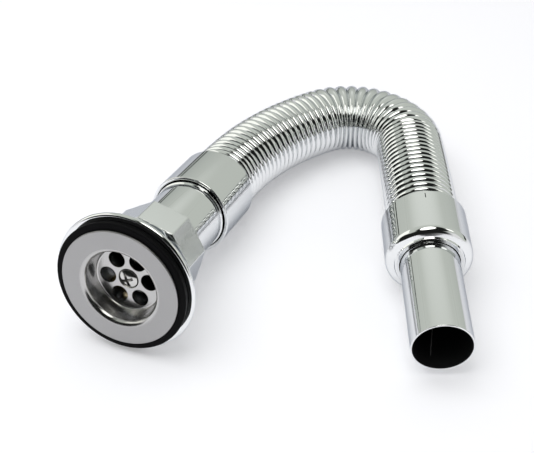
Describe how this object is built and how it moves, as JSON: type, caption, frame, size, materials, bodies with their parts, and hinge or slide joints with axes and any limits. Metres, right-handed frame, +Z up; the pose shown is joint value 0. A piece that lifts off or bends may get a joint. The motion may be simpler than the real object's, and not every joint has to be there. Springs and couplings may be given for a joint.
{
  "type": "flexible basin trap",
  "caption": "Chromed flexible basin trap: steel strainer and gasket on a flanged waste, union nut, bent corrugated pipe, and a nut with a plain outlet tube.",
  "frame": {"origin": "middle of the footprint, on the table the trap lies on", "axes": "+Z up from the table; -Y is the way the strainer faces, level part"},
  "size_m": [0.2095, 0.2464, 0.0761],
  "materials": {
    "satin_steel": "satin stainless steel",
    "bright_steel": "bright stainless steel",
    "polished_chrome": "polished chrome plate",
    "black_rubber": "matt black rubber",
    "brass": "plain turned brass"
  },
  "bodies": {
    "waste": {"strainer": "satin_steel", "thread_insert": "brass", "basin_gasket": "black_rubber", "waste_body": "polished_chrome", "coupling_washer": "black_rubber", "flexible_pipe": "polished_chrome"},
    "screw": {"strainer_screw": "bright_steel"},
    "coupling_ring": {"coupling_slip_ring": "brass"},
    "coupling": {"coupling_nut": "polished_chrome"},
    "outlet": {"outlet_fitting": "brass", "outlet_washer": "black_rubber", "outlet_tube": "polished_chrome"},
    "outlet_ring": {"outlet_slip_ring": "brass"},
    "outlet_union": {"outlet_nut": "polished_chrome"}
  },
  "joints": [
    {"name": "pipe_bend", "type": "hinge", "parent": "waste", "child": "outlet", "pos_m": [-0.00231, 0.0965, 0.021], "axis": [0, 0, 1], "range_deg": [-15, 30], "deforming": ["flexible_pipe"]},
    {"name": "screw_turn", "type": "hinge", "parent": "waste", "child": "screw", "pos_m": [-0.06636, -0.1093, 0.03779], "axis": [0, -0.9903, 0.139], "continuous": true},
    {"name": "coupling_advance", "type": "slide", "parent": "waste", "child": "coupling_ring", "axis": [0, 0.9903, -0.139], "range_m": [0, 0.0016]},
    {"name": "coupling_turn", "type": "hinge", "parent": "coupling_ring", "child": "coupling", "pos_m": [-0.06636, -0.0375, 0.02771], "axis": [0, 0.9903, -0.139], "range_deg": [0, 240]},
    {"name": "outlet_nut_advance", "type": "slide", "parent": "outlet", "child": "outlet_ring", "axis": [0.3677, -0.9287, -0.0489], "range_m": [0, 0.0024]},
    {"name": "outlet_nut_turn", "type": "hinge", "parent": "outlet_ring", "child": "outlet_union", "pos_m": [0.0555, 0.00723, 0.02485], "axis": [0.3677, -0.9287, -0.0489], "range_deg": [0, 360]}
  ],
  "couplings": [
    {"joint": "coupling_advance", "follows": "coupling_turn", "m_per_rad": 0.00036749},
    {"joint": "outlet_nut_advance", "follows": "outlet_nut_turn", "m_per_rad": 0.00036749}
  ]
}
